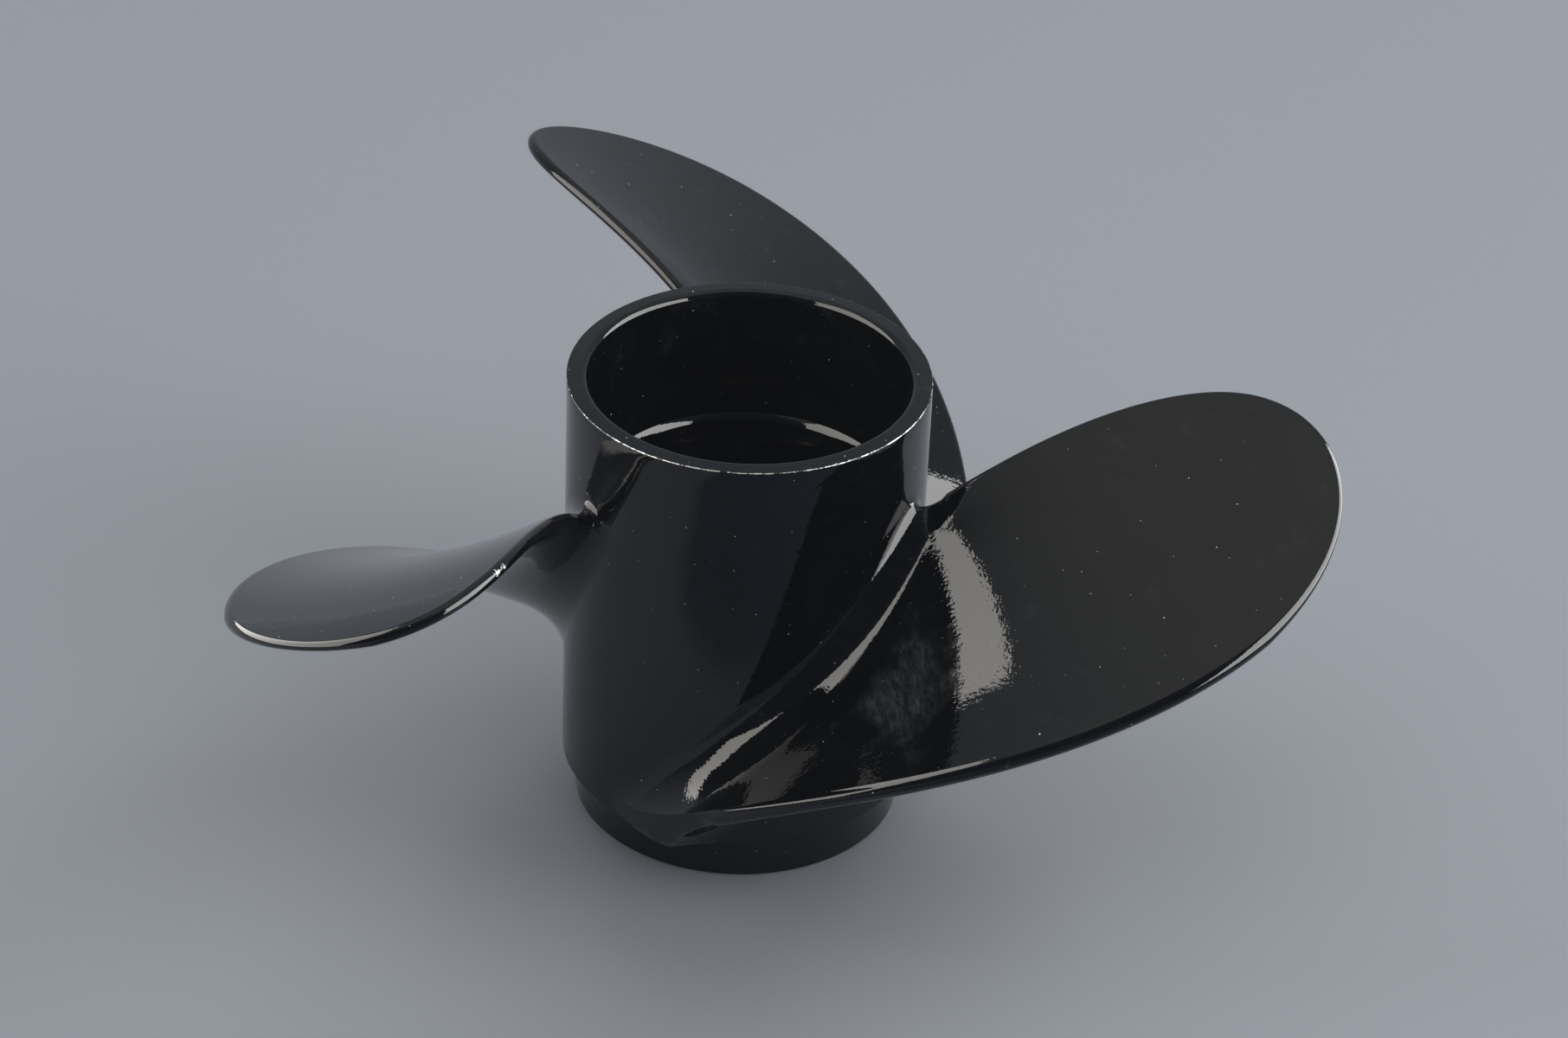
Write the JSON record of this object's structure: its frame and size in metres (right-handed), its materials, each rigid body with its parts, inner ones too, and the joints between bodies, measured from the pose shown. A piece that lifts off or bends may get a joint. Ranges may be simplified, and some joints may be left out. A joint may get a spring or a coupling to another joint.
{
  "type": "outboard boat propeller",
  "caption": "Right-hand boat propeller with broad swept blades on an open through-hub exhaust barrel, and a splined sleeve in a rubber bush for the shaft.",
  "frame": {"origin": "on the propeller shaft's axis, in the plane of the casting's front end, on which it stands", "axes": "+Z along the shaft's axis from the front end to the aft end; +X towards the root line of the first blade"},
  "size_m": [0.2634, 0.2576, 0.1224],
  "materials": {
    "black_paint": "high-gloss black paint on cast aluminium",
    "bush_rubber": "matt moulded rubber",
    "sleeve_brass": "machined, slightly dull"
  },
  "bodies": {
    "root": {"propeller_casting": "black_paint", "rubber_bush": "bush_rubber", "splined_sleeve": "sleeve_brass"}
  },
  "joints": []
}
